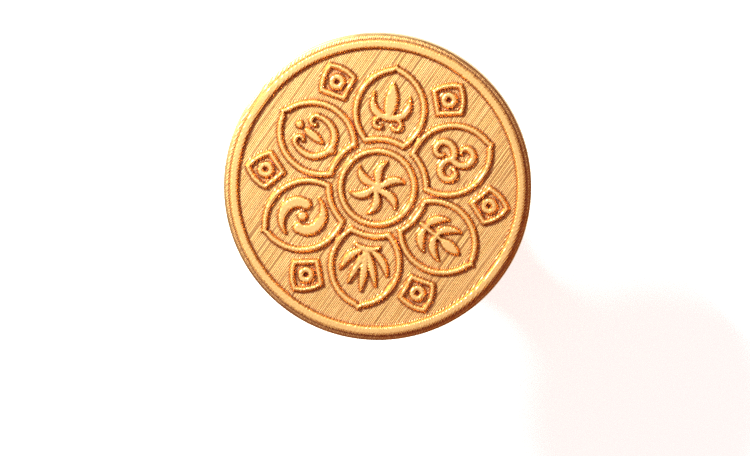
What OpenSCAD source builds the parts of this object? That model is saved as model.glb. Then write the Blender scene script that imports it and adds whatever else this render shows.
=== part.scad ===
// Round brass hand seal: an engraved disc screwed on a turned wooden grip.
// The seal stands on the flat end of its grip, with the engraved face up.
// Millimetres. +Z is the way the engraved face looks, and the origin is the
// centre of the grip's flat end.

/* [Disc] */
// Diameter of the disc
disc_d = 50; // [40:0.5:70]
// Thickness of the disc, from its back to the top of the relief
disc_t = 6; // [4:0.25:10]
// Width of the low ledge outside the raised rim
ledge_w = 1.0; // [0.5:0.05:2]
// Drop from the rim's top to the ledge
ledge_drop = 0.7; // [0.3:0.05:1.5]
// Chamfer on the disc's two outer corners
disc_chamfer = 0.3; // [0.1:0.05:0.6]
// Diameter of the hub on the back
hub_d = 18; // [14:0.5:24]
// Height of the hub
hub_h = 6; // [4:0.5:12]
// Radius of the fillet between the hub and the back
hub_fillet = 1.5; // [0.5:0.25:2.5]

/* [Relief] */
// Depth of the field below the top of the relief
relief_h = 0.7; // [0.3:0.05:1.2]
// Width of the raised rim
rim_w = 1.35; // [0.8:0.05:2.5]
// Width of the raised outlines
line_w = 0.85; // [0.5:0.05:1.2]
// Width of the lozenges' outlines
lozenge_line_w = 0.75; // [0.4:0.05:1]
// Diameter of the ring round the middle of the face
medallion_d = 12.8; // [10:0.2:16]
// Gap between that ring and the petals
petal_gap = 1.1; // [0.5:0.1:2]
// Gap between a petal's tip and the rim
tip_gap = 2.8; // [1:0.1:4]
// Width of a petal
petal_w = 11.9; // [8:0.1:13]
// Length of a lozenge, along the radius
lozenge_l = 6.6; // [5:0.1:8]
// Width of a lozenge, across the radius
lozenge_w = 6.4; // [5:0.1:7.6]
// Distance from a lozenge's inner corner to its two side corners, along the radius
lozenge_side = 2.8; // [2.2:0.1:3.4]
// Gap between a lozenge and the rim
lozenge_gap = 1.0; // [0.6:0.05:3]
// Radius of a lozenge's two outer sides
lozenge_arc_r = 6; // [5:0.1:12]
// Diameter of the boss inside a lozenge
boss_d = 2.5; // [1.5:0.1:3.2]
// Diameter of the dimple in that boss
dimple_d = 0.75; // [0.4:0.05:1.2]

/* [Grip] */
// Height of the grip's wood, from its flat end to the top of its spigot
grip_h = 39.5; // [32:0.5:80]
// Diameter at the belly
belly_d = 27; // [22:0.5:36]
// Height of the belly above the flat end
belly_z = 10; // [7:0.5:16]
// Diameter of the flat end
foot_d = 21; // [16:0.5:26]
// Diameter at the waist
waist_d = 15.6; // [15:0.1:22]
// Distance from the waist up to the ferrule
waist_drop = 5.5; // [3:0.5:8]

/* [Ferrule] */
// Diameter of the ferrule
ferrule_d = 18; // [17:0.5:24]
// Height of the ferrule
ferrule_h = 9.5; // [7:0.5:14]
// Thickness of its side wall
ferrule_wall = 1.2; // [0.8:0.1:2]
// Thickness of its flat top
ferrule_top = 1.5; // [1:0.1:3]

/* [Screw] */
// Diameter of the stud over its thread
stud_d = 8; // [6:1:8]
// Pitch of the thread
thread_pitch = 1.25; // [1:0.25:1.5]
// Turns of thread between the stud and the disc
thread_turns = 6; // [4:1:7]
// Length of the stud inside the insert
stud_in_insert = 14; // [8:0.5:20]
// Diameter of the insert in the wood
insert_d = 11; // [10:0.5:12]
// Thickness of the washer
washer_t = 1; // [0.5:0.1:2]
// Diameter of the washer
washer_d = 17; // [14:0.5:22]

/* [Fits] */
// Running clearance on the stud's radius, in the disc and in the insert
thread_clearance = 0.05; // [0.02:0.01:0.1]
// Clearance on the radius where the stud passes through the washer and ferrule
pass_clearance = 0.3; // [0.2:0.05:0.6]
// Room past the end of the stud, in the disc and in the insert
end_room = 1.5; // [0.5:0.25:2]

/* [Hidden] */

petals = 6;
arc_steps = 8;
curve_steps = 16;
grip_steps = 32;
weld = 0.2;

// Heights of the joints between the pieces, from the flat end up.
ferrule_top_z = grip_h + ferrule_top;
washer_z = ferrule_top_z;
hub_z = washer_z + washer_t;
disc_z = hub_z + hub_h;
face_z = disc_z + disc_t;
field_z = face_z - relief_h;
stud_bottom_z = grip_h - stud_in_insert;
stud_top_z = hub_z + thread_turns * thread_pitch;
neck_z = ferrule_top_z - ferrule_h;
waist_z = neck_z - waist_drop;

// Radii on the face, from the edge inwards.
disc_r = disc_d / 2;
rim_outer_r = disc_r - ledge_w;
rim_inner_r = rim_outer_r - rim_w;
medallion_r = medallion_d / 2;
petal_in_r = medallion_r + petal_gap;
petal_tip_r = rim_inner_r - tip_gap;
petal_mid_r = petal_in_r + 0.415 * (petal_tip_r - petal_in_r);
lozenge_tip_r = rim_inner_r - lozenge_gap;
lozenge_in_r = lozenge_tip_r - lozenge_l;
boss_r = lozenge_in_r + 0.5 * lozenge_l;
motif_r = petal_mid_r + 0.4;

// A petal's side is one arc from the tip round its widest point.
petal_half_w = petal_w / 2;
petal_reach = petal_tip_r - petal_mid_r;
petal_arc_r = (petal_reach ^ 2 + petal_half_w ^ 2) / (2 * petal_half_w);

// A lozenge's outer side is an arc from its side corner to its tip, and the centre of that
// arc lies square to the middle of the straight line between the two.
lozenge_half_w = lozenge_w / 2;
lozenge_side_r = lozenge_in_r + lozenge_side;
lozenge_chord = [lozenge_half_w, lozenge_side_r - lozenge_tip_r];
lozenge_chord_l = norm(lozenge_chord);
lozenge_square = [lozenge_chord[1], -lozenge_chord[0]] / lozenge_chord_l;
lozenge_drop = sqrt(lozenge_arc_r ^ 2 - (lozenge_chord_l / 2) ^ 2);
lozenge_arc_centre = [0, lozenge_tip_r] + lozenge_chord / 2 + lozenge_drop * lozenge_square;

// Bores that the stud passes.
tapped_r = stud_d / 2 + thread_clearance;
pass_r = stud_d / 2 + pass_clearance;
insert_r = insert_d / 2;
insert_h = stud_in_insert + end_room;
spigot_r = ferrule_d / 2 - ferrule_wall;

brass = [0.86, 0.64, 0.30];
steel = [0.62, 0.63, 0.65];
fibre = [0.33, 0.13, 0.09];
rosewood = [0.36, 0.17, 0.10];

// ---- Curves -------------------------------------------------------------

// A point on the curve from p[0] to p[2] that p[1] pulls.
function bend(p, t) = (1 - t) ^ 2 * p[0] + 2 * t * (1 - t) * p[1] + t ^ 2 * p[2];

// A point on the spiral [centre, radius at its start and end, angle at its start and end].
function curl(c, t) =
  let (r = c[1][0] + (c[1][1] - c[1][0]) * t, a = c[2][0] + (c[2][1] - c[2][0]) * t)
  c[0] + r * [cos(a), sin(a)];

// The width at t of a stroke that is w[0], w[1] and w[2] wide at its start, middle and end.
function swell(w, t) = w[0] * (1 - t) * (1 - 2 * t) + 4 * w[1] * t * (1 - t) + w[2] * t * (2 * t - 1);

// Turned a quarter left, one unit long.
function left_of(v) = [-v[1], v[0]] / norm(v);

// A flat stroke of varying width along points worked out by a curve.
module stroke(points, widths) {
  last = len(points) - 1;
  normals = [for (i = [0:last]) left_of(points[min(i + 1, last)] - points[max(i - 1, 0)])];
  half = [for (i = [0:last]) swell(widths, i / last) / 2];
  polygon(concat(
    [for (i = [0:last]) points[i] + half[i] * normals[i]],
    [for (i = [last:-1:0]) points[i] - half[i] * normals[i]]
  ));
}

module leaf(p, widths) stroke([for (i = [0:curve_steps]) bend(p, i / curve_steps)], widths);

module scroll(c, widths) stroke([for (i = [0:curve_steps]) curl(c, i / curve_steps)], widths);

module both_sides() {
  children();
  mirror([1, 0]) children();
}

// ---- Ornaments of the face, flat ------------------------------------------

// A closed bud between two leaves, over a pair of small scrolls.
module bud_motif() {
  leaf([[0, -1.7], [0, 1.3], [0, 4]], [0.6, 2.1, 0.2]);
  leaf([[-1.7, -1.5], [0, -1.8], [1.7, -1.5]], [0.4, 0.9, 0.4]);
  both_sides() {
    leaf([[0.3, -1.4], [3.4, -1.4], [2.9, 2.2]], [0.7, 1.2, 0.2]);
    scroll([[1.3, -2.7], [1.1, 0.45], [90, -150]], [0.6, 0.7, 0.5]);
  }
}

// Two tall scrolls that face each other, with a drop and a bead between them.
module lyre_motif() {
  leaf([[0, -1.6], [0, 0.4], [0, 2]], [0.2, 1.3, 0.5]);
  translate([0, 3.2]) circle(r = 0.6, $fn = 24);
  translate([0, -3.3]) circle(r = 0.7, $fn = 24);
  both_sides() {
    leaf([[0.2, -3.2], [3.9, -2.3], [3, 1.5]], [0.9, 1, 0.7]);
    scroll([[1.95, 1.5], [1.05, 0.45], [0, 230]], [0.7, 0.7, 0.5]);
  }
}

// A stem with two pairs of leaves and one at its end.
module sprig_motif() {
  leaf([[0, -3.7], [0, -1.4], [0, 0.7]], [0.8, 0.7, 0.6]);
  leaf([[0, 0.4], [0, 2], [0, 4]], [0.4, 1.7, 0.2]);
  both_sides() {
    leaf([[0, -2.8], [2.1, -3.1], [3.3, -0.7]], [0.5, 1.3, 0.2]);
    leaf([[0, -0.6], [2.1, -0.9], [2.9, 2.1]], [0.5, 1.3, 0.2]);
  }
}

// Three spirals that wind out of one point.
module triskele_motif() {
  for (i = [0:2])
    rotate(120 * i) scroll([[0, 2.1], [2.1, 0.6], [-90, 230]], [1, 1, 0.6]);
}

// Five long leaves that fan out over a curved foot.
module palmette_motif() {
  leaf([[0, -2.6], [0, 1], [0, 4]], [0.5, 1.3, 0.2]);
  leaf([[-1.9, -3.4], [0, -2.3], [1.9, -3.4]], [0.5, 1, 0.5]);
  both_sides() {
    leaf([[0.2, -2.6], [1.3, 0.2], [2.2, 2.9]], [0.4, 1.1, 0.2]);
    leaf([[0.6, -2.7], [3, -1.9], [3.8, 1]], [0.4, 1.2, 0.2]);
  }
}

// Two curved drops that chase each other round a bead.
module drops_motif() {
  circle(r = 0.75, $fn = 24);
  for (i = [0:1])
    rotate(180 * i) {
      scroll([[0, 0], [2, 3.9], [-35, 115]], [1.5, 1.7, 0.2]);
      rotate(-38) translate([2, 0]) circle(r = 0.85, $fn = 24);
    }
}

// Curved leaves that turn round a bead.
module whirl_motif() {
  circle(r = 0.9, $fn = 32);
  for (i = [0:petals - 1])
    rotate(i * 360 / petals)
      leaf([[0.5, 0], [2.1, 2.3], [4.2, 1.4]], [0.7, 1.3, 0.2]);
}

// The pointed petal whose outline lies inset from the true one.
module petal(inset) {
  difference() {
    intersection_for (side = [-1, 1])
      translate([side * (petal_half_w - petal_arc_r), petal_mid_r])
        circle(r = petal_arc_r - inset, $fn = 96);
    circle(r = petal_in_r + inset, $fn = 96);
  }
}

// The lozenge whose outline lies inset from the true one: two arched outer sides, and two
// straight ones that run to its inner corner.
module lozenge(inset) {
  half_angle = atan2(lozenge_half_w, lozenge_side);
  corner_r = lozenge_in_r + inset / sin(half_angle);
  intersection() {
    intersection_for (side = [-1, 1])
      translate([side * lozenge_arc_centre[0], lozenge_arc_centre[1]])
        circle(r = lozenge_arc_r - inset, $fn = 96);
    polygon([
      [0, corner_r],
      [lozenge_l * tan(half_angle), corner_r + lozenge_l],
      [-lozenge_l * tan(half_angle), corner_r + lozenge_l]
    ]);
  }
}

module boss() {
  difference() {
    circle(d = boss_d, $fn = 48);
    circle(d = dimple_d, $fn = 24);
  }
}

module motif(index) {
  if (index == 0) bud_motif();
  if (index == 1) lyre_motif();
  if (index == 2) drops_motif();
  if (index == 3) palmette_motif();
  if (index == 4) sprig_motif();
  if (index == 5) triskele_motif();
}

// Everything raised inside the rim.
module relief() {
  difference() {
    circle(r = medallion_r, $fn = 96);
    circle(r = medallion_r - line_w, $fn = 96);
  }
  whirl_motif();
  for (i = [0:petals - 1])
    rotate(i * 360 / petals) {
      difference() {
        petal(0);
        petal(line_w);
      }
      translate([0, motif_r]) motif(i);
      rotate(180 / petals) {
        difference() {
          lozenge(0);
          lozenge(lozenge_line_w);
        }
        translate([0, boss_r]) boss();
      }
    }
}

// ---- Pieces -----------------------------------------------------------------

// The turned blank in half section: hub, back, edge, ledge, rim and field.
module disc_section() {
  fillet_z = disc_z - hub_fillet;
  fillet_r = hub_d / 2 + hub_fillet;
  polygon(concat(
    [[0, hub_z], [hub_d / 2 - disc_chamfer, hub_z], [hub_d / 2, hub_z + disc_chamfer]],
    [for (i = [0:arc_steps])
      let (a = 180 - 90 * i / arc_steps)
      [fillet_r + hub_fillet * cos(a), fillet_z + hub_fillet * sin(a)]],
    [[disc_r - disc_chamfer, disc_z], [disc_r, disc_z + disc_chamfer]],
    [[disc_r, face_z - ledge_drop - disc_chamfer], [disc_r - disc_chamfer, face_z - ledge_drop]],
    [[rim_outer_r, face_z - ledge_drop], [rim_outer_r, face_z]],
    [[rim_inner_r, face_z], [rim_inner_r, field_z], [0, field_z]]
  ));
}

module seal_disc() {
  color(brass)
    difference() {
      union() {
        rotate_extrude($fn = 180) disc_section();
        translate([0, 0, field_z - weld]) linear_extrude(relief_h + weld) relief();
      }
      translate([0, 0, hub_z - weld])
        cylinder(h = stud_top_z - hub_z + end_room + weld, r = tapped_r, $fn = 64);
    }
}

module thrust_washer() {
  color(fibre)
    translate([0, 0, washer_z])
      difference() {
        cylinder(h = washer_t, d = washer_d, $fn = 96);
        translate([0, 0, -weld]) cylinder(h = washer_t + 2 * weld, r = pass_r, $fn = 64);
      }
}

// Fully threaded stud, drawn at its major diameter, with chamfered ends.
module handle_stud() {
  r = stud_d / 2;
  chamfer = thread_pitch / 2;
  color(steel)
    rotate_extrude($fn = 96)
      polygon([
        [0, stud_bottom_z], [r - chamfer, stud_bottom_z], [r, stud_bottom_z + chamfer],
        [r, stud_top_z - chamfer], [r - chamfer, stud_top_z], [0, stud_top_z]
      ]);
}

// A cap over the top of the wood, with a bead round its lower edge.
module ferrule() {
  r = ferrule_d / 2;
  bead = ferrule_wall / 2;
  color(brass)
    difference() {
      rotate_extrude($fn = 120)
        polygon(concat(
          [[0, neck_z], [r, neck_z]],
          [for (i = [1:arc_steps - 1])
            let (a = -90 + 180 * i / arc_steps)
            [r + bead * cos(a), neck_z + bead + bead * sin(a)]],
          [[r, neck_z + 2 * bead], [r, ferrule_top_z - bead]],
          [[r - bead, ferrule_top_z], [0, ferrule_top_z]]
        ));
      translate([0, 0, neck_z - weld])
        cylinder(h = ferrule_h - ferrule_top + weld, r = spigot_r, $fn = 96);
      cylinder(h = ferrule_top_z + weld, r = pass_r, $fn = 64);
    }
}

module threaded_insert() {
  color(brass)
    translate([0, 0, grip_h - insert_h])
      difference() {
        cylinder(h = insert_h, r = insert_r, $fn = 96);
        translate([0, 0, -weld]) cylinder(h = insert_h + 2 * weld, r = tapped_r, $fn = 64);
      }
}

// The grip's radius at height z: a belly over the foot, a waist, and a neck under the ferrule.
function ease(t) = (1 - cos(180 * t)) / 2;
function blend(a, b, t) = a + (b - a) * t;
function grip_r(z) =
  z < belly_z ? blend(foot_d, belly_d, sin(90 * z / belly_z)) / 2
  : z < waist_z ? blend(belly_d, waist_d, ease((z - belly_z) / (waist_z - belly_z))) / 2
  : blend(waist_d, ferrule_d, ease((z - waist_z) / (neck_z - waist_z))) / 2;

module wooden_grip() {
  color(rosewood)
    difference() {
      rotate_extrude($fn = 96)
        polygon(concat(
          [[0, 0]],
          [for (i = [0:grip_steps]) let (z = neck_z * i / grip_steps) [grip_r(z), z]],
          [[spigot_r, neck_z], [spigot_r, grip_h], [0, grip_h]]
        ));
      translate([0, 0, grip_h - insert_h - end_room])
        cylinder(h = insert_h + end_room + weld, r = insert_r, $fn = 96);
    }
}

seal_disc();
thrust_washer();
handle_stud();
ferrule();
threaded_insert();
wooden_grip();
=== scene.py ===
"""Looks of a round brass hand seal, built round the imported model.

The face of the disc is milled in straight parallel passes, so its mesh is a grid that follows them.
The disc's edge and back, the ferrule, the washer and the insert are turned, the stud has a real
thread, and the grip is turned in dark wood. Shapes are worked out in millimetres, and each mesh is
made in metres.
"""

import math

import bpy
import numpy as np
from mathutils import Matrix, Vector


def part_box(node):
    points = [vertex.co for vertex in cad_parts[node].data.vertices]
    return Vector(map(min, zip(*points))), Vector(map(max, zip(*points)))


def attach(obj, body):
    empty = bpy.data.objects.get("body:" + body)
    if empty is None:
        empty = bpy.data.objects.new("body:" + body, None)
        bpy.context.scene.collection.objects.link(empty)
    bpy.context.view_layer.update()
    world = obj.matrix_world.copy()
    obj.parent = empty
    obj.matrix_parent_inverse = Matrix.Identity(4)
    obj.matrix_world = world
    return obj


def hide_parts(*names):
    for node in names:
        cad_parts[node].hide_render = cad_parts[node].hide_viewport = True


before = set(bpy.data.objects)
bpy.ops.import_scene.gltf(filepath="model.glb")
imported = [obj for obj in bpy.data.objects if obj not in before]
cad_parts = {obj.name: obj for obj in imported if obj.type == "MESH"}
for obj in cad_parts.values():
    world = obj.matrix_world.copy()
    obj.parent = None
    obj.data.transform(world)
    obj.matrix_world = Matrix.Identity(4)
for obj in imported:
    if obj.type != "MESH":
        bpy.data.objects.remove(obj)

MM = 0.001
SEED = 11
rng = np.random.default_rng(SEED)

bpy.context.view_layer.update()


def box_mm(node):
    """(half width, lowest z, highest z) of a CAD node, in millimetres."""
    low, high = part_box(node)
    return high[0] / MM, low[2] / MM, high[2] / MM


disc_r, hub_z, face_z = box_mm("seal_disc")
washer_r, washer_z, _ = box_mm("thrust_washer")
stud_r, stud_bottom_z, stud_top_z = box_mm("handle_stud")
_, neck_z, ferrule_top_z = box_mm("ferrule")
insert_r, insert_bottom_z, insert_top_z = box_mm("threaded_insert")
belly_r, _, grip_top_z = box_mm("wooden_grip")

# ---- Sizes that the frame's boxes don't give, in millimetres ----------------

disc_t = 6.0
ledge_w = 1.0
ledge_drop = 0.7
disc_chamfer = 0.3
hub_r = 9.0
hub_fillet = 1.5
relief_h = 0.7
rim_w = 1.35
line_w = 0.85
lozenge_line_w = 0.75
medallion_r = 6.4
petals = 6
petal_gap = 1.1
tip_gap = 2.8
petal_half_w = 5.95
lozenge_l = 6.6
lozenge_half_w = 3.2
lozenge_side = 2.8
lozenge_gap = 1.0
lozenge_arc_r = 6.0
boss_r_out = 1.32
dimple_r = 0.375
thread_pitch = 1.25
tapped_r = stud_r + 0.05
pass_r = stud_r + 0.3
hole_top_z = stud_top_z + 1.5
ferrule_r = 9.0
ferrule_wall = 1.2
ferrule_top = 1.5
spigot_r = ferrule_r - ferrule_wall
insert_room = 1.5
centre_hole_r = 0.4
foot_r = 10.5
belly_z = 10.0
waist_r = 7.8
waist_drop = 5.5

disc_z = face_z - disc_t
ledge_z = face_z - ledge_drop
rim_outer_r = disc_r - ledge_w
rim_inner_r = rim_outer_r - rim_w
petal_in_r = medallion_r + petal_gap
petal_tip_r = rim_inner_r - tip_gap
petal_mid_r = petal_in_r + 0.415 * (petal_tip_r - petal_in_r)
petal_reach = petal_tip_r - petal_mid_r
petal_arc_r = (petal_reach**2 + petal_half_w**2) / (2 * petal_half_w)
motif_r = petal_mid_r + 0.4
lozenge_tip_r = rim_inner_r - lozenge_gap
lozenge_in_r = lozenge_tip_r - lozenge_l
lozenge_side_r = lozenge_in_r + lozenge_side
boss_r = lozenge_in_r + lozenge_l / 2

# ---- Marks of the milling, in millimetres -----------------------------------

pass_angle = math.radians(63.7)
pass_pitch = 0.27
pass_step = 0.17
ridge_h = 0.021
ridge_on_top = 0.15
pass_depth_spread = 0.004
pass_shift_spread = 0.018
pass_backlash = 0.02
gouges = 90
gouge_depth = 0.034
# Painted shade in the crevices: how far it spreads, and how deep a hollow must be to get all of it.
crevice_spread = 0.22
crevice_depth = 0.4 * relief_h
# Points on a wall's section: the distance outside its outline, and how far it lies under the top.
wall_profile = (
    (-0.26, 0),
    (-0.18, 0.012),
    (-0.10, 0.05),
    (-0.04, 0.11),
    (0.03, 0.30),
    (0.12, 0.57),
    (0.19, 0.66),
    (0.28, 0.70),
)
top_grain = 0.005
ledge_fall = 0.2
face_edge_r = disc_r - disc_chamfer


# ---- Outlines of the relief: distances in millimetres, negative inside ------


def least(*distances):
    """The smallest of several distances, point by point."""
    return np.minimum.reduce(distances)


def turned_by(x, y, degrees):
    """The points x, y turned clockwise by degrees: what stands at that angle comes to +Y or +X."""
    c, s = math.cos(math.radians(degrees)), math.sin(math.radians(degrees))
    return c * x + s * y, c * y - s * x


def ring(x, y, outer_r, width):
    return np.abs(np.hypot(x, y) - outer_r + width / 2) - width / 2


def dot(x, y, centre, r):
    return np.hypot(x - centre[0], y - centre[1]) - r


def inner_line(distance, width):
    """The distance to a line of that width, just inside an outline."""
    return np.abs(distance + width / 2) - width / 2


def petal(x, y):
    """The pointed petal on +Y, with a small cusp at its tip."""
    side = np.hypot(np.abs(x) - petal_half_w + petal_arc_r, y - petal_mid_r) - petal_arc_r
    cusp = 0.3 * np.exp(-((x / 0.3) ** 2)) * np.clip((y - petal_mid_r) / petal_reach, 0, 1)
    return np.maximum(side - cusp, petal_in_r - np.hypot(x, y))


def lozenge(x, y):
    """The lozenge on +Y: two arched outer sides and two straight inner ones."""
    chord = np.array([lozenge_half_w, lozenge_side_r - lozenge_tip_r])
    length = np.hypot(*chord)
    drop = math.sqrt(lozenge_arc_r**2 - (length / 2) ** 2)
    centre = np.array([0, lozenge_tip_r]) + chord / 2 + drop * np.array([chord[1], -chord[0]]) / length
    arch = np.hypot(np.abs(x) - centre[0], y - centre[1]) - lozenge_arc_r
    slope = np.abs(x) * lozenge_side - (y - lozenge_in_r) * lozenge_half_w
    return np.maximum(arch, slope / math.hypot(lozenge_side, lozenge_half_w))


def stroke(x, y, points, widths):
    """A flat stroke along points, that is widths[0], [1] and [2] wide at its start, middle and end."""
    t = np.linspace(0, 1, len(points))
    start, middle, end = widths
    half = (start * (1 - t) * (1 - 2 * t) + 4 * middle * t * (1 - t) + end * t * (2 * t - 1)) / 2
    nearest = np.full(x.shape, np.inf)
    for i in range(len(points) - 1):
        a, b = points[i], points[i + 1]
        along = b - a
        share = np.clip(((x - a[0]) * along[0] + (y - a[1]) * along[1]) / (along @ along), 0, 1)
        gap = np.hypot(x - a[0] - share * along[0], y - a[1] - share * along[1])
        nearest = np.minimum(nearest, gap - half[i] - share * (half[i + 1] - half[i]))
    return nearest


def leaf(x, y, bend, widths):
    """A stroke on the curve from bend[0] to bend[2] that bend[1] pulls."""
    p = np.array(bend, float)
    t = np.linspace(0, 1, 21)[:, None]
    return stroke(x, y, (1 - t) ** 2 * p[0] + 2 * t * (1 - t) * p[1] + t**2 * p[2], widths)


def scroll(x, y, centre, radii, degrees, widths):
    """A stroke on a spiral round centre."""
    t = np.linspace(0, 1, 33)
    r = radii[0] + (radii[1] - radii[0]) * t
    a = np.radians(degrees[0] + (degrees[1] - degrees[0]) * t)
    points = np.stack([centre[0] + r * np.cos(a), centre[1] + r * np.sin(a)], axis=1)
    return stroke(x, y, points, widths)


def bud(x, y):
    """A closed bud between two leaves, over a pair of small scrolls."""
    side = np.abs(x)
    return least(
        leaf(x, y, [(0, -1.7), (0, 1.3), (0, 4)], (0.6, 2.1, 0.2)),
        leaf(x, y, [(-1.7, -1.5), (0, -1.8), (1.7, -1.5)], (0.4, 0.9, 0.4)),
        leaf(side, y, [(0.3, -1.4), (3.4, -1.4), (2.9, 2.2)], (0.7, 1.2, 0.2)),
        scroll(side, y, (1.3, -2.7), (1.1, 0.45), (90, -150), (0.6, 0.7, 0.5)),
    )


def lyre(x, y):
    """Two tall scrolls that face each other, with a drop and a bead between them."""
    side = np.abs(x)
    return least(
        leaf(x, y, [(0, -1.6), (0, 0.4), (0, 2)], (0.2, 1.3, 0.5)),
        dot(x, y, (0, 3.2), 0.6),
        dot(x, y, (0, -3.3), 0.7),
        leaf(side, y, [(0.2, -3.2), (3.9, -2.3), (3, 1.5)], (0.9, 1, 0.7)),
        scroll(side, y, (1.95, 1.5), (1.05, 0.45), (0, 230), (0.7, 0.7, 0.5)),
    )


def drops(x, y):
    """Two curved drops that chase each other round a bead."""
    both = [dot(x, y, (0, 0), 0.75)]
    for half_turn in (0, 180):
        px, py = turned_by(x, y, half_turn)
        head = (2 * math.cos(math.radians(-38)), 2 * math.sin(math.radians(-38)))
        both.append(scroll(px, py, (0, 0), (2, 3.9), (-35, 115), (1.5, 1.7, 0.2)))
        both.append(dot(px, py, head, 0.85))
    return least(*both)


def palmette(x, y):
    """Five long leaves that fan out over a curved foot."""
    side = np.abs(x)
    return least(
        leaf(x, y, [(0, -2.6), (0, 1), (0, 4)], (0.5, 1.3, 0.2)),
        leaf(x, y, [(-1.9, -3.4), (0, -2.3), (1.9, -3.4)], (0.5, 1, 0.5)),
        leaf(side, y, [(0.2, -2.6), (1.3, 0.2), (2.2, 2.9)], (0.4, 1.1, 0.2)),
        leaf(side, y, [(0.6, -2.7), (3, -1.9), (3.8, 1)], (0.4, 1.2, 0.2)),
    )


def sprig(x, y):
    """A stem with two pairs of leaves and one at its end."""
    side = np.abs(x)
    return least(
        leaf(x, y, [(0, -3.7), (0, -1.4), (0, 0.7)], (0.8, 0.7, 0.6)),
        leaf(x, y, [(0, 0.4), (0, 2), (0, 4)], (0.4, 1.7, 0.2)),
        leaf(side, y, [(0, -2.8), (2.1, -3.1), (3.3, -0.7)], (0.5, 1.3, 0.2)),
        leaf(side, y, [(0, -0.6), (2.1, -0.9), (2.9, 2.1)], (0.5, 1.3, 0.2)),
    )


def triskele(x, y):
    """Three spirals that wind out of one point."""
    arms = []
    for turn in (0, 120, 240):
        px, py = turned_by(x, y, turn)
        arms.append(scroll(px, py, (0, 2.1), (2.1, 0.6), (-90, 230), (1, 1, 0.6)))
    return least(*arms)


def whirl(x, y):
    """Curved leaves that turn round a bead."""
    leaves = [dot(x, y, (0, 0), 0.9)]
    for i in range(petals):
        px, py = turned_by(x, y, i * 360 / petals)
        leaves.append(leaf(px, py, [(0.5, 0), (2.1, 2.3), (4.2, 1.4)], (0.7, 1.3, 0.2)))
    return least(*leaves)


MOTIFS = [bud, lyre, drops, palmette, sprig, triskele]
MOTIF_REACH = 5.2


def near(distance, x, y, shape, centre=(0, 0)):
    """Brings the distance down to shape's, where the points lie within a motif's reach of centre."""
    px, py = x - centre[0], y - centre[1]
    close = np.hypot(px, py) < MOTIF_REACH
    distance[close] = np.minimum(distance[close], shape(px[close], py[close]))


def relief_distance(x, y):
    """The distance from each point to the nearest raised shape."""
    distance = least(ring(x, y, rim_outer_r, rim_w), ring(x, y, medallion_r, line_w))
    near(distance, x, y, whirl)
    for i in range(petals):
        px, py = turned_by(x, y, i * 360 / petals)
        distance = np.minimum(distance, inner_line(petal(px, py), line_w))
        near(distance, px, py, MOTIFS[i], (0, motif_r))
        px, py = turned_by(x, y, (i + 0.5) * 360 / petals)
        distance = np.minimum(distance, inner_line(lozenge(px, py), lozenge_line_w))
        boss = ring(px, py - boss_r, boss_r_out, boss_r_out - dimple_r)
        distance = np.minimum(distance, boss)
    return distance


# ---- The milled face ----------------------------------------------------------


def smooth(t):
    t = np.clip(t, 0, 1)
    return t * t * (3 - 2 * t)


def along_noise(count, length, knots):
    """count rows of smooth noise from -1 to 1, each length long, with a new value every knots steps."""
    coarse = rng.uniform(-1, 1, (count, length // knots + 2))
    place = np.arange(length) / knots
    low = place.astype(int)
    share = smooth(place - low)
    return coarse[:, low] * (1 - share) + coarse[:, low + 1] * share


def blurred(field, sigma):
    """field smoothed along both axes, sigma given in steps for each."""
    for axis in (0, 1):
        reach = int(3 * sigma[axis]) + 1
        kernel = np.exp(-0.5 * (np.arange(-reach, reach + 1) / sigma[axis]) ** 2)
        kernel /= kernel.sum()

        def smoothed(row):
            return np.convolve(np.pad(row, reach, "edge"), kernel, "valid")

        field = np.apply_along_axis(smoothed, axis, field)
    return field


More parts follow.
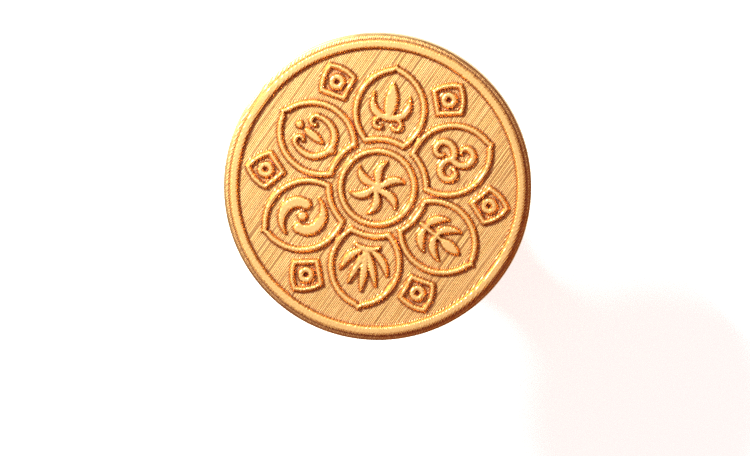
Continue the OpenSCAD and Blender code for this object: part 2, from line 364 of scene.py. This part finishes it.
def milled_surface():
    """The face as a grid of x, y, z and its marks, in rows across the passes and columns along them:
    where it is milled, and masks of painted shade and painted reflection.
    """
    reach = face_edge_r + 2 * pass_step
    passes = int(reach / pass_pitch) + 1
    steps = int(reach / pass_step) + 1
    pass_v = np.arange(-passes, passes + 1) * pass_pitch
    u = np.arange(-steps, steps + 1) * pass_step
    count = len(pass_v)
    shift = rng.normal(0, pass_shift_spread, count) + pass_backlash * (-1.0) ** np.arange(count)
    depth = rng.normal(0, pass_depth_spread, count)
    c, s = math.cos(pass_angle), math.sin(pass_angle)
    along = u[None, :] + shift[:, None]
    across = np.repeat(pass_v[:, None], len(u), axis=1)
    distance = relief_distance(c * along - s * across, s * along + c * across)
    cut = np.interp(distance, *zip(*wall_profile)) / relief_h
    depth = depth[:, None] + 0.5 * pass_depth_spread * along_noise(count, len(u), 9)
    for _ in range(gouges):
        row, middle = rng.integers(count), rng.uniform(-reach, reach)
        length = rng.uniform(4.0, 30.0)
        window = smooth(1.5 - 3 * np.abs(u - middle) / length)
        depth[row] += gouge_depth * rng.uniform(-1, 1) ** 3 * window
    groove = -relief_h * cut - depth * smooth(3 * cut)
    both_cut = np.minimum(cut[:-1], cut[1:])
    on_floor = smooth(3 * both_cut - 2)
    ridge = np.minimum(groove[:-1], groove[1:]) + ridge_h * (ridge_on_top + (1 - ridge_on_top) * on_floor)
    rows = 2 * count - 1
    height = np.empty((rows, len(u)))
    height[0::2], height[1::2] = groove, ridge
    milled = np.empty_like(height)
    milled[0::2], milled[1::2] = cut, both_cut
    v = np.linspace(pass_v[0], pass_v[-1], rows)
    height -= ledge_fall * smooth((np.hypot(u[None, :], v[:, None]) - rim_outer_r) / ledge_w / 2) * 2
    grain = top_grain * rng.uniform(-1, 1, height.shape) * (1 - milled)
    # Painted shade: how far each point lies below its blurred surroundings, which darkens crevices and
    # the feet of walls.
    around = blurred(height, (crevice_spread * 2 / pass_pitch, crevice_spread / pass_step))
    crevice_shade = np.clip((around - height) / crevice_depth, 0, 1)
    x = c * u[None, :] - s * v[:, None]
    y = s * u[None, :] + c * v[:, None]
    strength = 1 + 0.15 * rng.normal(0, 1, count)[:, None] + 0.25 * along_noise(count, len(u), 14)
    # Painted shade in the grooves between the passes, of random strength from pass to pass, only on the
    # milled floor.
    groove_shade = np.zeros_like(height)
    groove_shade[0::2] = np.clip(strength, 0.3, 2.0) * smooth(3 * cut - 2)
    # Painted reflection: orange on the upper part of each wall, for light that the brass throws from wall
    # to wall.
    wall = np.zeros_like(height)
    wall[0::2] = np.clip(8 * cut, 0, 1) * (1 - cut)
    wall[1::2] = np.maximum(wall[0:-2:2], wall[2::2])
    return x, y, face_z + height + grain, (milled, crevice_shade, groove_shade, wall)


def zipped(loop, loop_angles, circle, circle_angles):
    """Triangles between two loops of vertices that both run anticlockwise from the lowest angle."""
    faces, i, j = [], 0, 0
    n, m = len(loop), len(circle)
    while i < n or j < m:
        next_i = loop_angles[i + 1] if i + 1 < n else loop_angles[0] + 2 * math.pi
        next_j = circle_angles[j + 1] if j + 1 < m else circle_angles[0] + 2 * math.pi
        if j >= m or (i < n and next_i <= next_j):
            faces.append((loop[i % n], circle[j % m], loop[(i + 1) % n]))
            i += 1
        else:
            faces.append((loop[i % n], circle[j % m], circle[(j + 1) % m]))
            j += 1
    return faces


def disc_mesh():
    """The disc as one closed mesh: the milled face, then the turned edge, back, hub and tapped hole."""
    x, y, z, marks = milled_surface()
    rows, columns = x.shape
    r = np.hypot(x, y)
    inside = r < face_edge_r - 0.3 * pass_step
    quad_kept = inside[:-1, :-1] | inside[1:, :-1] | inside[:-1, 1:] | inside[1:, 1:]
    number = np.arange(rows * columns).reshape(rows, columns)
    quads = np.stack(
        [number[:-1, :-1], number[:-1, 1:], number[1:, 1:], number[1:, :-1]], axis=-1
    )[quad_kept]
    outside = ~inside
    scale = np.where(outside, face_edge_r / np.maximum(r, pass_step), 1)
    flat = [x * scale, y * scale, np.where(outside, ledge_z - ledge_fall, z)]
    used, faces = np.unique(quads, return_inverse=True)
    faces = faces.reshape(quads.shape)
    points = np.stack([field.ravel()[used] for field in flat], axis=1)
    marks = np.stack([mark.ravel()[used] for mark in marks], axis=1)
    edges = np.concatenate([faces[:, [a, (a + 1) % 4]] for a in range(4)])
    forward = edges[:, 0].astype(np.int64) * len(points) + edges[:, 1]
    backward = edges[:, 1].astype(np.int64) * len(points) + edges[:, 0]
    border = edges[~np.isin(forward, backward)]
    border_next = dict(border.tolist())
    angles = np.arctan2(points[:, 1], points[:, 0]) % (2 * math.pi)
    loop = [min(border_next, key=lambda v: angles[v])]
    while border_next[loop[-1]] != loop[0]:
        loop.append(border_next[loop[-1]])

    segments = 288
    circle_angles = np.arange(segments) * 2 * math.pi / segments
    edge_z = ledge_z - ledge_fall
    outline = [(disc_r - 0.1, edge_z - 0.06), (disc_r, edge_z - 0.25)]
    outline += [(disc_r, disc_z + disc_chamfer), (disc_r - 0.12, disc_z + 0.08)]
    outline += [(disc_r - disc_chamfer, disc_z)]
    outline += arc((hub_r + hub_fillet, disc_z - hub_fillet), hub_fillet, 90, 180, 6)
    outline += [(hub_r, hub_z + 0.3), (hub_r - 0.3, hub_z)]
    outline += [(tapped_r + 0.5, hub_z), (tapped_r, hub_z + 0.5)]
    outline += [(tapped_r, hole_top_z), (0.3, hole_top_z + 1.2)]
    rings = []
    base = len(points)
    for ring_r, ring_z in outline:
        rings.append(base + np.arange(segments))
        points = np.concatenate([points, circle_points(ring_r, ring_z, circle_angles)])
        base += segments
    marks = np.concatenate([marks, np.zeros((len(points) - len(marks), marks.shape[1]))])
    triangles = zipped(loop, angles[loop], rings[0].tolist(), circle_angles)
    sides = []
    for upper, lower in zip(rings, rings[1:]):
        for i in range(segments):
            j = (i + 1) % segments
            sides.append((upper[i], lower[i], lower[j], upper[j]))
    end = rings[-1].tolist()
    return points, faces.tolist() + triangles + sides + [end], marks, len(faces)


def circle_points(r, z, angles):
    return np.stack([r * np.cos(angles), r * np.sin(angles), np.full(len(angles), z)], axis=1)


def arc(centre, r, start, end, steps):
    """Points (r, z) on an arc from one angle to another, in degrees."""
    return [
        (centre[0] + r * math.cos(math.radians(a)), centre[1] + r * math.sin(math.radians(a)))
        for a in np.linspace(start, end, steps + 1)
    ]


# ---- Meshes and pieces ----------------------------------------------------------


def piece(name, points, faces, material, slot, body, *nodes, sharp=35):
    """A closed mesh from points in millimetres, which rides on body and stands for nodes."""
    mesh = bpy.data.meshes.new(name)
    mesh.from_pydata((np.asarray(points) * MM).tolist(), [], [list(map(int, face)) for face in faces])
    mesh.polygons.foreach_set("use_smooth", np.ones(len(mesh.polygons), bool))
    mesh.set_sharp_from_angle(angle=math.radians(sharp))
    mesh.materials.append(material)
    mesh.update()
    made = bpy.data.objects.new(name, mesh)
    bpy.context.scene.collection.objects.link(made)
    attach(made, body)
    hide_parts(*nodes)
    return made


def lathe(outline, segments=160):
    """Points and faces of a closed outline of (r, z), anticlockwise in r and z, turned round the axis."""
    angles = np.arange(segments) * 2 * math.pi / segments
    points = np.concatenate([circle_points(r, z, angles) for r, z in outline])
    faces = []
    count = len(outline)
    for k in range(count):
        a, b = k * segments, ((k + 1) % count) * segments
        for i in range(segments):
            j = (i + 1) % segments
            faces.append((a + i, a + j, b + j, b + i))
    return points, faces


def attribute(mesh, name, values):
    data = mesh.attributes.new(name, "FLOAT", "POINT").data
    data.foreach_set("value", np.ascontiguousarray(values, np.float32))


# ---- Materials --------------------------------------------------------------------


def new_material(name):
    """A material, add() to make a node in it, give() to link or set a socket, and its shader."""
    material = bpy.data.materials.new(name)
    material.use_nodes = True
    tree = material.node_tree
    shader = tree.nodes["Principled BSDF"]

    def add(kind, inputs=(), **settings):
        node = tree.nodes.new(kind)
        for key, value in settings.items():
            setattr(node, key, value)
        for key, value in dict(inputs).items():
            give(node.inputs[key], value)
        return node

    def give(socket, value):
        if isinstance(value, bpy.types.NodeSocket):
            tree.links.new(value, socket)
        else:
            socket.default_value = value

    return material, add, give, shader


def ramp(add, value, *stops):
    """A colour ramp over value, with stops of (place, colour)."""
    node = add("ShaderNodeValToRGB", {"Fac": value})
    elements = node.color_ramp.elements
    while len(elements) < len(stops):
        elements.new(1.0)
    for element, (place, colour) in zip(elements, stops):
        element.position = place
        element.color = (*colour, 1)
    return node.outputs["Color"]


def mixed(add, share, a, b, blend="MIX"):
    node = add("ShaderNodeMix", data_type="RGBA", blend_type=blend)
    for key, value in ((0, share), (6, a), (7, b)):
        if isinstance(value, bpy.types.NodeSocket):
            node.id_data.links.new(value, node.inputs[key])
        else:
            node.inputs[key].default_value = value if key == 0 else (*value, 1)
    return node.outputs[2]


def bumped(add, height, distance, strength=1.0, normal=None):
    node = add("ShaderNodeBump", {"Height": height, "Distance": distance, "Strength": strength})
    if normal is not None:
        node.id_data.links.new(normal, node.inputs["Normal"])
    return node.outputs["Normal"]


def noise(add, scale, detail=4.0, roughness=0.5, vector=None):
    inputs = {"Scale": scale, "Detail": detail, "Roughness": roughness}
    if vector is not None:
        inputs["Vector"] = vector
    return add("ShaderNodeTexNoise", inputs).outputs["Fac"]


def maths(add, operation, a, b=0.0):
    return add("ShaderNodeMath", {0: a, 1: b}, operation=operation).outputs["Value"]


def milled_brass():
    """Bright satin brass with fine scratches and grain, and painted light: dark red shade in its
    crevices, darker grooves between the passes, and orange painted reflection on the walls of the relief.
    """
    material, add, give, shader = new_material("milled_brass")
    place = add("ShaderNodeTexCoord").outputs["Object"]
    milled = add("ShaderNodeAttribute", attribute_name="milled").outputs["Fac"]
    crevice_shade = add("ShaderNodeAttribute", attribute_name="crevice_shade").outputs["Fac"]
    along = add(
        "ShaderNodeMapping",
        {"Vector": place, "Rotation": (0, 0, pass_angle), "Scale": (30, 1, 1)},
        vector_type="TEXTURE",
    )
    streaks = noise(add, 3200, 3, 0.6, along.outputs["Vector"])
    grain = noise(add, 9000, 3, 0.6, place)
    clouds = noise(add, 120, 3, 0.5, place)
    groove = add("ShaderNodeAttribute", attribute_name="groove").outputs["Fac"]
    wall = add("ShaderNodeAttribute", attribute_name="wall").outputs["Fac"]
    field = ramp(add, streaks, (0.35, (0.72, 0.425, 0.16)), (0.62, (0.82, 0.51, 0.235)))
    # Painted shade: the grooves between the passes darker.
    field = mixed(add, maths(add, "MULTIPLY", groove, 0.66), field, (0.38, 0.17, 0.035))
    top = ramp(add, grain, (0.32, (0.86, 0.47, 0.11)), (0.68, (0.96, 0.72, 0.36)))
    colour = mixed(add, milled, top, field)
    colour = mixed(add, maths(add, "MULTIPLY", clouds, 0.2), colour, (0.80, 0.45, 0.13))
    # Painted reflection: orange on the walls of the relief.
    colour = mixed(add, maths(add, "MULTIPLY", wall, 0.6), colour, (1.0, 0.40, 0.02))
    # Painted shade: dark red in the crevices and at the feet of the walls.
    colour = mixed(add, maths(add, "MULTIPLY", crevice_shade, 1.0), colour, (0.22, 0.01, 0.045))
    give(shader.inputs["Base Color"], colour)
    shader.inputs["Metallic"].default_value = 1.0
    rough = add("ShaderNodeMapRange", {"Value": grain, "To Min": 0.42, "To Max": 0.56}).outputs["Result"]
    give(shader.inputs["Roughness"], rough)
    fine = bumped(add, grain, 0.00001, 0.6)
    give(shader.inputs["Normal"], bumped(add, streaks, 0.00001, 0.5, fine))
    return material


def turned_brass(name, colour, dark, roughness):
    """Brass turned on a lathe: fine rings round the axis, worn a little unevenly."""
    material, add, give, shader = new_material(name)
    place = add("ShaderNodeTexCoord").outputs["Object"]
    xyz = add("ShaderNodeSeparateXYZ", {"Vector": place})
    flat = add("ShaderNodeCombineXYZ", {"X": xyz.outputs["X"], "Y": xyz.outputs["Y"]})
    radius = add("ShaderNodeVectorMath", {0: flat.outputs["Vector"]}, operation="LENGTH").outputs["Value"]
    lathe_place = add("ShaderNodeCombineXYZ", {"X": radius, "Z": xyz.outputs["Z"]}).outputs["Vector"]
    rings = noise(add, 5200, 2, 0.7, lathe_place)
    wear = noise(add, 240, 4, 0.6, place)
    tone = ramp(add, wear, (0.35, dark), (0.6, colour))
    give(shader.inputs["Base Color"], tone)
    shader.inputs["Metallic"].default_value = 1.0
    rough = add("ShaderNodeMapRange", {"Value": wear, "To Min": roughness, "To Max": roughness + 0.14})
    give(shader.inputs["Roughness"], rough.outputs["Result"])
    give(shader.inputs["Normal"], bumped(add, rings, 0.000008, 0.5))
    return material


def plated_steel():
    material, add, give, shader = new_material("plated_steel")
    place = add("ShaderNodeTexCoord").outputs["Object"]
    wear = noise(add, 500, 4, 0.6, place)
    tone = ramp(add, wear, (0.3, (0.42, 0.42, 0.43)), (0.65, (0.68, 0.69, 0.70)))
    give(shader.inputs["Base Color"], tone)
    shader.inputs["Metallic"].default_value = 1.0
    rough = add("ShaderNodeMapRange", {"Value": wear, "To Min": 0.25, "To Max": 0.42})
    give(shader.inputs["Roughness"], rough.outputs["Result"])
    give(shader.inputs["Normal"], bumped(add, noise(add, 4000, 3, 0.6, place), 0.000006, 0.4))
    return material


def red_fibre():
    material, add, give, shader = new_material("red_fibre")
    place = add("ShaderNodeTexCoord").outputs["Object"]
    fibres = noise(add, 1800, 6, 0.7, place)
    tone = ramp(add, fibres, (0.3, (0.16, 0.035, 0.02)), (0.7, (0.32, 0.09, 0.05)))
    give(shader.inputs["Base Color"], tone)
    shader.inputs["Roughness"].default_value = 0.72
    give(shader.inputs["Normal"], bumped(add, fibres, 0.00004, 0.5))
    return material


def rosewood():
    """Dark red-brown wood: growth rings that run up the grip, dark pores and a satin lacquer."""
    material, add, give, shader = new_material("rosewood")
    place = add("ShaderNodeTexCoord").outputs["Object"]
    warp = noise(add, 55, 3, 0.5, place)
    grown = {"Vector": place, "Location": (0.021, 0.008, 0), "Scale": (1, 1, 0.12)}
    stretched = add("ShaderNodeMapping", grown)
    shifted = add("ShaderNodeVectorMath", {0: stretched.outputs["Vector"]}, operation="ADD")
    warp_x = maths(add, "MULTIPLY", warp, 0.004)
    warp_y = maths(add, "MULTIPLY", warp, 0.002)
    spread = add("ShaderNodeCombineXYZ", {"X": warp_x, "Y": warp_y})
    give(shifted.inputs[1], spread.outputs["Vector"])
    wave = {"Vector": shifted.outputs["Vector"], "Scale": 150.0, "Distortion": 6.0}
    wave |= {"Detail": 4.0, "Detail Scale": 1.2}
    rings = add("ShaderNodeTexWave", wave, wave_type="RINGS", rings_direction="Z").outputs["Fac"]
    pore_place = add("ShaderNodeMapping", {"Vector": place, "Scale": (1, 1, 0.06)})
    pores = noise(add, 2600, 3, 0.6, pore_place.outputs["Vector"])
    tones = ((0.1, (0.060, 0.018, 0.011)), (0.5, (0.125, 0.038, 0.019)), (0.9, (0.19, 0.062, 0.028)))
    colour = ramp(add, rings, *tones)
    dark = ramp(add, pores, (0.36, (0.28, 0.28, 0.28)), (0.46, (1, 1, 1)))
    give(shader.inputs["Base Color"], mixed(add, 1.0, colour, dark, "MULTIPLY"))
    rough = add("ShaderNodeMapRange", {"Value": pores, "To Min": 0.5, "To Max": 0.33})
    give(shader.inputs["Roughness"], rough.outputs["Result"])
    shader.inputs["Coat Weight"].default_value = 0.35
    shader.inputs["Coat Roughness"].default_value = 0.16
    give(shader.inputs["Normal"], bumped(add, pores, 0.00005, 0.4))
    return material


# ---- The pieces -------------------------------------------------------------------


def make_disc():
    points, faces, marks, top_faces = disc_mesh()
    brass = milled_brass()
    made = piece("engraved_disc", points, faces, brass, "engraved_brass", "head", "seal_disc", sharp=12)
    edge_brass = turned_brass("disc_edge_brass", (0.80, 0.55, 0.24), (0.62, 0.40, 0.15), 0.22)
    made.data.materials.append(edge_brass)
    slots = np.zeros(len(faces), np.int32)
    slots[top_faces:] = 1
    made.data.polygons.foreach_set("material_index", slots)
    # The marks that the material reads: where the face is milled, painted shade in crevices and grooves,
    # and painted reflection on walls.
    for i, name in enumerate(("milled", "crevice_shade", "groove", "wall")):
        attribute(made.data, name, marks[:, i])


def rounded(corners, radius, steps=3):
    """The closed outline of (r, z) corners, each cut back by radius and rounded."""
    out = []
    count = len(corners)
    for i in range(count):
        before, here, after = (np.array(corners[(i + k) % count], float) for k in (-1, 0, 1))
        to_before, to_after = before - here, after - here
        a = here + to_before / np.linalg.norm(to_before) * radius
        b = here + to_after / np.linalg.norm(to_after) * radius
        for t in np.linspace(0, 1, steps + 1):
            out.append(tuple((1 - t) ** 2 * a + 2 * t * (1 - t) * here + t**2 * b))
    return out


def make_washer():
    top_z = washer_z + 1.0
    corners = [(pass_r, washer_z), (washer_r, washer_z), (washer_r, top_z), (pass_r, top_z)]
    points, faces = lathe(rounded(corners, 0.15))
    piece("fibre_washer", points, faces, red_fibre(), "fibre", "washer", "thrust_washer")


def make_ferrule():
    """The cap on the wood: a bead round its lower edge, two turned lines, and a softened top edge."""
    bead = ferrule_wall / 2
    inner_top_z = ferrule_top_z - ferrule_top
    outline = [(spigot_r, neck_z + 0.15), (spigot_r + 0.15, neck_z)]
    outline += arc((ferrule_r, neck_z + bead), bead, -90, 90, 12)[1:]
    for groove_z in (neck_z + 2.0, neck_z + 2.6, ferrule_top_z - 1.6):
        outline += [(ferrule_r, groove_z - 0.14), (ferrule_r - 0.13, groove_z)]
        outline += [(ferrule_r, groove_z + 0.14)]
    outline += arc((ferrule_r - 0.5, ferrule_top_z - 0.5), 0.5, 0, 90, 6)
    outline += [(pass_r, ferrule_top_z), (pass_r, inner_top_z), (spigot_r, inner_top_z)]
    points, faces = lathe(outline, 192)
    brass = turned_brass("ferrule_brass", (0.86, 0.60, 0.25), (0.70, 0.45, 0.17), 0.16)
    piece("ferrule_cap", points, faces, brass, "turned_brass", "handle", "ferrule")


def thread_depth(z, angle, pitch, crest):
    """How far a thread's surface lies under its crest, 0 on the crest and 1 in the root."""
    turn = (z / pitch - angle / (2 * math.pi)) % 1.0
    return np.clip((np.abs(turn - 0.5) * 2 - crest) / (1 - 2 * crest), 0, 1)


def make_stud():
    """A fully threaded stud with a chamfer at each end."""
    segments, height = 96, 0.08
    depth = 0.6134 * thread_pitch
    angles = np.arange(segments) * 2 * math.pi / segments
    levels = np.arange(stud_bottom_z, stud_top_z + height / 2, height)
    levels[-1] = stud_top_z
    z, a = np.meshgrid(levels, angles, indexing="ij")
    r = stud_r - depth * thread_depth(z, a, thread_pitch, 0.125)
    end_gap = np.minimum(z - stud_bottom_z, stud_top_z - z)
    r = np.minimum(r, stud_r - 0.9 + end_gap)
    points = np.stack([r * np.cos(a), r * np.sin(a), z], axis=-1).reshape(-1, 3)
    faces = []
    for k in range(len(levels) - 1):
        for i in range(segments):
            j = (i + 1) % segments
            low, high = k * segments, (k + 1) * segments
            faces.append((low + i, low + j, high + j, high + i))
    last = (len(levels) - 1) * segments
    faces.append(list(range(segments))[::-1])
    faces.append([last + i for i in range(segments)])
    piece("threaded_stud", points, faces, plated_steel(), "stud_steel", "handle", "handle_stud", sharp=40)


def make_insert():
    """The insert in the wood, with coarse rings outside that hold it."""
    outline = [(tapped_r + 0.4, insert_bottom_z), (insert_r - 0.4, insert_bottom_z)]
    ring_z = insert_bottom_z + 0.6
    while ring_z < insert_top_z - 1.4:
        outline += [(insert_r, ring_z), (insert_r, ring_z + 0.5), (insert_r - 0.45, ring_z + 0.9)]
        outline += [(insert_r - 0.45, ring_z + 1.1)]
        ring_z += 1.5
    outline += [(insert_r, insert_top_z - 0.5), (insert_r - 0.2, insert_top_z)]
    outline += [(tapped_r + 0.4, insert_top_z)]
    outline += [(tapped_r, insert_top_z - 0.4), (tapped_r, insert_bottom_z + 0.4)]
    points, faces = lathe(outline, 96)
    brass = turned_brass("insert_brass", (0.82, 0.58, 0.26), (0.66, 0.43, 0.18), 0.3)
    piece("brass_insert", points, faces, brass, "turned_brass", "handle", "threaded_insert")


def eased(t):
    return (1 - math.cos(math.pi * t)) / 2


def grip_r(z):
    """The grip's radius at a height: a belly over the foot, a waist, and a neck under the ferrule."""
    waist_z = neck_z - waist_drop
    if z < belly_z:
        return foot_r + (belly_r - foot_r) * math.sin(math.pi / 2 * z / belly_z)
    if z < waist_z:
        return belly_r + (waist_r - belly_r) * eased((z - belly_z) / (waist_z - belly_z))
    return waist_r + (ferrule_r - waist_r) * eased((z - waist_z) / (neck_z - waist_z))


def make_grip():
    """The turned wood, with a softened foot, a spigot in the ferrule, and the bore for the insert."""
    softening = 0.5
    outline = arc((grip_r(softening) - softening, softening), softening, -90, 0, 5)
    outline += [(grip_r(z), z) for z in np.linspace(0.9, neck_z, 72)]
    outline += [(spigot_r, neck_z), (spigot_r, grip_top_z - 0.2), (spigot_r - 0.2, grip_top_z)]
    bore_z = insert_bottom_z - insert_room
    outline += [(insert_r, grip_top_z), (insert_r, bore_z), (centre_hole_r, bore_z)]
    outline += [(centre_hole_r, 0.0)]
    points, faces = lathe(outline, 192)
    piece("turned_grip", points, faces, rosewood(), "rosewood", "handle", "wooden_grip")


make_disc()
make_washer()
make_ferrule()
make_stud()
make_insert()
make_grip()

# ---- Camera, light and floor --------------------------------------------------------

view_tilt = math.radians(4.8)
view_side = math.radians(74.0)
view_roll = math.radians(99.2)
view_distance = 700.0
view_disc_share = 0.4116
aim_offset = (-0.343, -6.52)
sensor = 36.0
floor_z = -0.2  # a little under the foot, so that the two don't flicker into each other


def make_camera():
    """The camera looks down on the face, a little from one side, with the disc above the middle."""
    back = Vector((
        math.sin(view_tilt) * math.cos(view_side),
        math.sin(view_tilt) * math.sin(view_side),
        math.cos(view_tilt),
    ))
    up = Vector((math.cos(view_roll), math.sin(view_roll), 0))
    right = up.cross(back).normalized()
    up = back.cross(right)
    middle = Vector((0, 0, face_z))
    place = middle + back * view_distance
    aim = middle + right * aim_offset[0] + up * aim_offset[1]
    look = (aim - place).normalized()
    right = look.cross(up).normalized()
    up = right.cross(look)
    turn = Matrix((right, up, -look)).transposed().to_4x4()
    data = bpy.data.cameras.new("camera")
    data.sensor_width = sensor
    data.lens = view_disc_share * sensor * view_distance / (2 * disc_r)
    data.clip_start, data.clip_end = 0.01, 20.0
    camera = bpy.data.objects.new("camera", data)
    camera.matrix_world = Matrix.Translation(place * MM) @ turn
    bpy.context.scene.collection.objects.link(camera)
    bpy.context.scene.camera = camera
    return right, up


def make_light(name, place, size, power, colour=(1, 1, 1)):
    """A square lamp at place, in metres, that faces the disc."""
    data = bpy.data.lights.new(name, "AREA")
    data.shape = "SQUARE"
    data.size, data.energy, data.color = size, power, colour
    lamp = bpy.data.objects.new(name, data)
    middle = Vector((0, 0, face_z * MM))
    lamp.location = middle + Vector(place)
    lamp.rotation_mode = "QUATERNION"
    lamp.rotation_quaternion = (middle - lamp.location).to_track_quat("-Z", "Y")
    bpy.context.scene.collection.objects.link(lamp)


def make_floor():
    """A plain pale floor, far wider than the view, that lights the object less than it looks."""
    mesh = bpy.data.meshes.new("floor")
    half = 3.0
    z = floor_z * MM
    corners = [(-half, -half, z), (half, -half, z), (half, half, z), (-half, half, z)]
    mesh.from_pydata(corners, [], [(0, 1, 2, 3)])
    floor = bpy.data.objects.new("floor", mesh)
    material, add, give, shader = new_material("pale_floor")
    seen = add("ShaderNodeLightPath").outputs["Is Camera Ray"]
    give(shader.inputs["Base Color"], mixed(add, seen, (0.6, 0.6, 0.6), (0.93, 0.93, 0.93)))
    shader.inputs["Roughness"].default_value = 0.9
    shader.inputs["Emission Color"].default_value = (1.0, 1.0, 1.0, 1)
    give(shader.inputs["Emission Strength"], maths(add, "MULTIPLY", seen, 0.75))
    mesh.materials.append(material)
    bpy.context.scene.collection.objects.link(floor)


def make_world(bright_way):
    """A sky that is white on the key light's side, red-brown overhead and orange on the far side."""
    world = bpy.data.worlds.new("studio")
    bpy.context.scene.world = world
    world.use_nodes = True
    tree = world.node_tree
    way = tree.nodes.new("ShaderNodeTexCoord")
    share = tree.nodes.new("ShaderNodeVectorMath")
    share.operation = "DOT_PRODUCT"
    share.inputs[1].default_value = bright_way
    tree.links.new(way.outputs["Generated"], share.inputs[0])
    tone = tree.nodes.new("ShaderNodeValToRGB")
    stops = (
        (0.0, (2.2, 0.72, 0.02)),
        (0.25, (0.7, 0.24, 0.03)),
        (0.45, (0.48, 0.10, 0.05)),
        (0.75, (0.55, 0.17, 0.19)),
        (1.0, (1.0, 0.95, 0.95)),
    )
    elements = tone.color_ramp.elements
    while len(elements) < len(stops):
        elements.new(1.0)
    for element, (place, colour) in zip(elements, stops):
        element.position = place
        element.color = (*colour, 1)
    half = tree.nodes.new("ShaderNodeMapRange")
    half.inputs["From Min"].default_value = -1.0
    tree.links.new(share.outputs["Value"], half.inputs["Value"])
    tree.links.new(half.outputs["Result"], tone.inputs["Fac"])
    seen = tree.nodes.new("ShaderNodeLightPath")
    shown = tree.nodes.new("ShaderNodeMix")
    shown.data_type = "RGBA"
    tree.links.new(seen.outputs["Is Camera Ray"], shown.inputs[0])
    tree.links.new(tone.outputs["Color"], shown.inputs[6])
    shown.inputs[7].default_value = (1.9, 1.9, 1.9, 1)
    tree.links.new(shown.outputs[2], tree.nodes["Background"].inputs["Color"])
    tree.nodes["Background"].inputs["Strength"].default_value = 0.52


right, up = make_camera()
side_way = (up * 0.75 - right * 0.8).normalized()
key_way = (side_way + Vector((0, 0, 0.85))).normalized()
top_way = (side_way * 0.15 + Vector((0, 0, 1.0))).normalized()
make_light("key", key_way * 0.6, 0.12, 11.0, (0.95, 1.03, 0.98))
make_light("top", top_way * 0.9, 0.35, 0.35, (1.0, 0.98, 0.95))
make_floor()
make_world((side_way + Vector((0, 0, 0.6))).normalized())
bpy.context.scene.view_settings.view_transform = "Standard"
bpy.context.scene.cycles.use_denoising = False  # it would wipe out the lines of the milling
